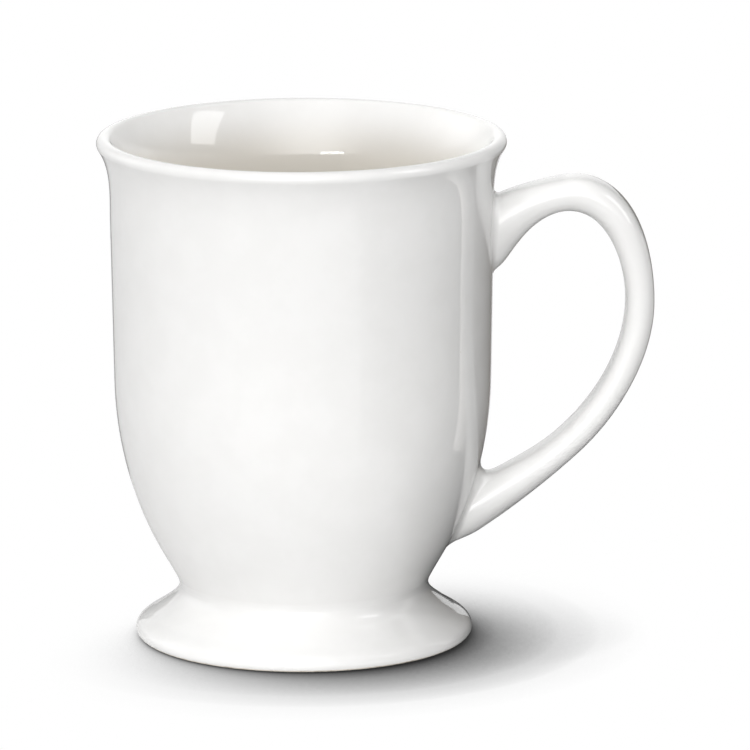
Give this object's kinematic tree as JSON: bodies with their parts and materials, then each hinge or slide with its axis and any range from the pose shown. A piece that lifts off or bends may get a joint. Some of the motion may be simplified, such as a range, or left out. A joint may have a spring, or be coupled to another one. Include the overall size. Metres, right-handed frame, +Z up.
{
  "type": "footed mug",
  "caption": "White glazed ceramic mug with a flared rim, a barrel bowl narrowing to a spreading hollow foot, and a looped strap handle.",
  "frame": {"origin": "middle of the flat foot ring, on the table", "axes": "+Z up along the mug's axis, +X from the axis to the handle, +Y across the handle"},
  "size_m": [0.1238, 0.091, 0.1135],
  "materials": {
    "bowl_glaze": "glossy white glaze",
    "foot_glaze": "glossy white glaze, dry on the foot ring",
    "handle_glaze": "glossy white glaze",
    "slip_glaze": "white slip under the glaze"
  },
  "bodies": {
    "root": {"bowl": "bowl_glaze", "pedestal_foot": "foot_glaze", "handle": "handle_glaze", "upper_handle_slip": "slip_glaze", "lower_handle_slip": "slip_glaze", "foot_slip": "slip_glaze"}
  },
  "joints": []
}
